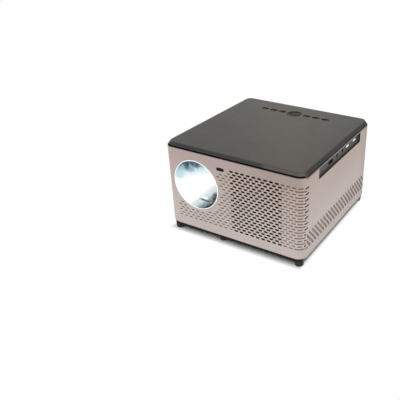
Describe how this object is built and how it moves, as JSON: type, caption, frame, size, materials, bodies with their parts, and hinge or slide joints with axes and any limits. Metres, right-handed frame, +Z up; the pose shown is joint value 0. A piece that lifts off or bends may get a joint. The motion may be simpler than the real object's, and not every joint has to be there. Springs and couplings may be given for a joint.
{
  "type": "projector with disc drive",
  "caption": "Square table-top projector with a bevelled dark lid, perforated front, round lens, side sockets and a slim disc tray.",
  "frame": {"origin": "centre of the footprint, on the table", "axes": "+Z up, -Y the way the lens looks, +X the side with the sockets"},
  "size_m": [0.23, 0.231, 0.1462],
  "materials": {
    "shell_plastic": "pale rose-grey brushed moulding",
    "dark_plastic": "dark satin moulding",
    "lid_plastic": "dark warm-grey fine satin moulding",
    "ring_plastic": "bright white trim",
    "hood_plastic": "silvered hood",
    "lens_glass": "coated optical glass",
    "window_plastic": "dark infra-red window",
    "strip_plastic": "grey recessed strip",
    "port_metal": "nickel plated",
    "jack_plastic": "black moulded jack",
    "rubber": "black rubber",
    "key_plastic": "dark satin keys",
    "steel": "zinc plated sheet",
    "aluminium": "extruded, plain",
    "brass": "turned brass",
    "board": "green circuit board with parts",
    "inner_plastic": "black inner moulding",
    "clear_plate": "optical plate",
    "cone_paper": "pressed speaker cone",
    "tray_plastic": "black tray moulding"
  },
  "bodies": {
    "case": {"front_panel": "shell_plastic", "side_shell": "shell_plastic", "rear_panel": "dark_plastic", "bottom_plate": "dark_plastic", "top_lid": "lid_plastic", "lens_ring": "ring_plastic", "lens_tube": "inner_plastic", "ir_window": "window_plastic", "port_panel": "strip_plastic", "tray_surround": "strip_plastic", "hdmi_port": "port_metal", "usb_port_front": "port_metal", "usb_port_rear": "port_metal", "headphone_jack": "jack_plastic", "av_jack": "jack_plastic", "mains_inlet": "jack_plastic", "rubber_feet": "rubber", "tripod_insert": "brass", "base_screws": "steel", "key_board": "board", "main_board": "board", "power_board": "board", "inner_frame": "steel", "engine_housing": "inner_plastic", "condenser_lens": "clear_plate", "fresnel_lenses": "clear_plate", "lcd_panel": "clear_plate", "led_module": "aluminium", "heat_sink": "aluminium", "exhaust_fan_frame": "inner_plastic", "intake_fan_frame": "inner_plastic", "speaker_baskets": "steel", "speaker_cones": "cone_paper", "drive_chassis": "steel", "drive_cover": "steel"},
    "lens_barrel": {"lens_barrel": "aluminium", "front_lens": "lens_glass", "rear_lens": "lens_glass"},
    "focus_ring": {"focus_ring": "hood_plastic"},
    "exhaust_rotor": {"exhaust_fan_rotor": "inner_plastic"},
    "intake_rotor": {"intake_fan_rotor": "inner_plastic"},
    "disc_tray": {"disc_tray": "tray_plastic", "tray_bezel": "dark_plastic", "spindle_motor": "steel", "guide_rods": "steel"},
    "tray_rails": {"tray_rails": "steel"},
    "disc_hub": {"disc_hub": "tray_plastic"},
    "pickup_sled": {"pickup_sled": "tray_plastic"},
    "lead_screw": {"lead_screw": "steel"},
    "eject_button": {"eject_button": "dark_plastic"},
    "direction_ring": {"direction_ring": "key_plastic"},
    "ok_key": {"ok_key": "key_plastic"},
    "foot_tip": {"adjuster_tip": "rubber"},
    "foot_screw": {"adjuster_screw": "dark_plastic"},
    "play_key": {"play_key": "key_plastic"},
    "menu_key": {"menu_key": "key_plastic"},
    "power_key": {"power_key": "key_plastic"},
    "volume_down_key": {"volume_down_key": "key_plastic"},
    "volume_up_key": {"volume_up_key": "key_plastic"},
    "source_key": {"source_key": "key_plastic"}
  },
  "joints": [
    {"name": "tray_slide", "type": "slide", "parent": "case", "child": "disc_tray", "axis": [-1, 0, 0], "range_m": [0, 0.12]},
    {"name": "rails_slide", "type": "slide", "parent": "case", "child": "tray_rails", "axis": [-1, 0, 0], "range_m": [0, 0.06]},
    {"name": "hub_spin", "type": "hinge", "parent": "disc_tray", "child": "disc_hub", "pos_m": [-0.0465, 0.0016, 0.1305], "axis": [0, 0, 1], "continuous": true},
    {"name": "screw_turn", "type": "hinge", "parent": "disc_tray", "child": "lead_screw", "pos_m": [-0.0465, 0.0246, 0.1274], "axis": [1, 0, 0], "range_deg": [0, 3720]},
    {"name": "sled_slide", "type": "slide", "parent": "disc_tray", "child": "pickup_sled", "axis": [1, 0, 0], "range_m": [0, 0.031]},
    {"name": "eject_press", "type": "slide", "parent": "disc_tray", "child": "eject_button", "axis": [1, 0, 0], "range_m": [0, 0.0006], "stiffness_N_per_m": 600},
    {"name": "focus_turn", "type": "hinge", "parent": "case", "child": "focus_ring", "pos_m": [-0.0612, -0.1075, 0.0876], "axis": [0, 1, 0], "range_deg": [0, 120]},
    {"name": "barrel_slide", "type": "slide", "parent": "case", "child": "lens_barrel", "axis": [0, -1, 0], "range_m": [0, 0.005]},
    {"name": "exhaust_spin", "type": "hinge", "parent": "case", "child": "exhaust_rotor", "pos_m": [-0.0612, 0.1, 0.067], "axis": [0, 1, 0], "continuous": true},
    {"name": "intake_spin", "type": "hinge", "parent": "case", "child": "intake_rotor", "pos_m": [-0.0612, -0.015, 0.02], "axis": [0, 0, 1], "continuous": true},
    {"name": "direction_press", "type": "slide", "parent": "case", "child": "direction_ring", "axis": [0, 0, -1], "range_m": [0, 0.0005], "stiffness_N_per_m": 600},
    {"name": "ok_press", "type": "slide", "parent": "case", "child": "ok_key", "axis": [0, 0, -1], "range_m": [0, 0.0005], "stiffness_N_per_m": 600},
    {"name": "foot_lift", "type": "slide", "parent": "case", "child": "foot_tip", "axis": [0, 0, -1], "range_m": [0, 0.012]},
    {"name": "foot_turn", "type": "hinge", "parent": "foot_tip", "child": "foot_screw", "pos_m": [-0.0245, -0.1051, 0.005], "axis": [0, 0, 1], "range_deg": [0, 2880]},
    {"name": "play_press", "type": "slide", "parent": "case", "child": "play_key", "axis": [0, 0, -1], "range_m": [0, 0.0005], "stiffness_N_per_m": 600},
    {"name": "menu_press", "type": "slide", "parent": "case", "child": "menu_key", "axis": [0, 0, -1], "range_m": [0, 0.0005], "stiffness_N_per_m": 600},
    {"name": "power_press", "type": "slide", "parent": "case", "child": "power_key", "axis": [0, 0, -1], "range_m": [0, 0.0005], "stiffness_N_per_m": 600},
    {"name": "volume_down_press", "type": "slide", "parent": "case", "child": "volume_down_key", "axis": [0, 0, -1], "range_m": [0, 0.0005], "stiffness_N_per_m": 600},
    {"name": "volume_up_press", "type": "slide", "parent": "case", "child": "volume_up_key", "axis": [0, 0, -1], "range_m": [0, 0.0005], "stiffness_N_per_m": 600},
    {"name": "source_press", "type": "slide", "parent": "case", "child": "source_key", "axis": [0, 0, -1], "range_m": [0, 0.0005], "stiffness_N_per_m": 600}
  ],
  "couplings": [
    {"joint": "rails_slide", "follows": "tray_slide", "ratio": 0.5},
    {"joint": "screw_turn", "follows": "sled_slide", "rad_per_m": 2094.4},
    {"joint": "focus_turn", "follows": "barrel_slide", "rad_per_m": 418.88},
    {"joint": "foot_turn", "follows": "foot_lift", "rad_per_m": 4188.8}
  ]
}
